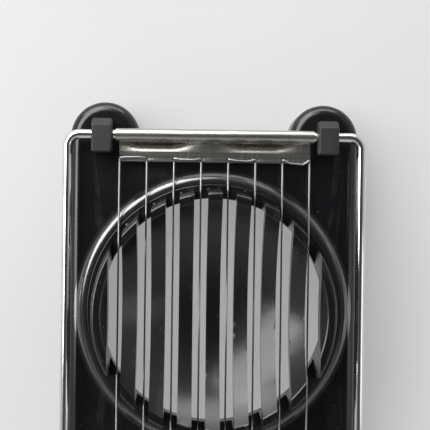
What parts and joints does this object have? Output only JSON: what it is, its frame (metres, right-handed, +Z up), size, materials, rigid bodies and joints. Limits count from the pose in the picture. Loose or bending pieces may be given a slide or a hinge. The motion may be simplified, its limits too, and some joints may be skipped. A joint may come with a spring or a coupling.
{
  "type": "egg slicer",
  "caption": "Hand egg slicer: a ribbed round cup on a flat base with a hinged steel frame of thin cutting wires.",
  "frame": {"origin": "middle of the object's plan on the surface it stands on, under the centre of the cup", "axes": "+X across the slicer, +Y towards the hinge, +Z up"},
  "size_m": [0.0834, 0.1152, 0.03],
  "materials": {
    "black_plastic": "moulded, satin to glossy, with fine handling marks",
    "grey_plastic": "moulded, fine matte grain",
    "chrome_rod": "bright chrome",
    "polished_strip": "polished rolled steel sheet",
    "steel_wire": "drawn stainless wire"
  },
  "bodies": {
    "base": {"slicer_base": "black_plastic", "hinge_cap_left": "grey_plastic", "hinge_cap_right": "grey_plastic"},
    "frame": {"frame_rod": "chrome_rod", "hinge_strip": "polished_strip", "front_strip": "polished_strip", "wire_pair_1": "steel_wire", "wire_pair_2": "steel_wire", "wire_pair_3": "steel_wire", "wire_pair_4": "steel_wire"}
  },
  "joints": [
    {"name": "frame_hinge", "type": "hinge", "parent": "base", "child": "frame", "pos_m": [0, 0.048, 0.017], "axis": [-1, 0, 0], "range_deg": [0, 115]}
  ]
}
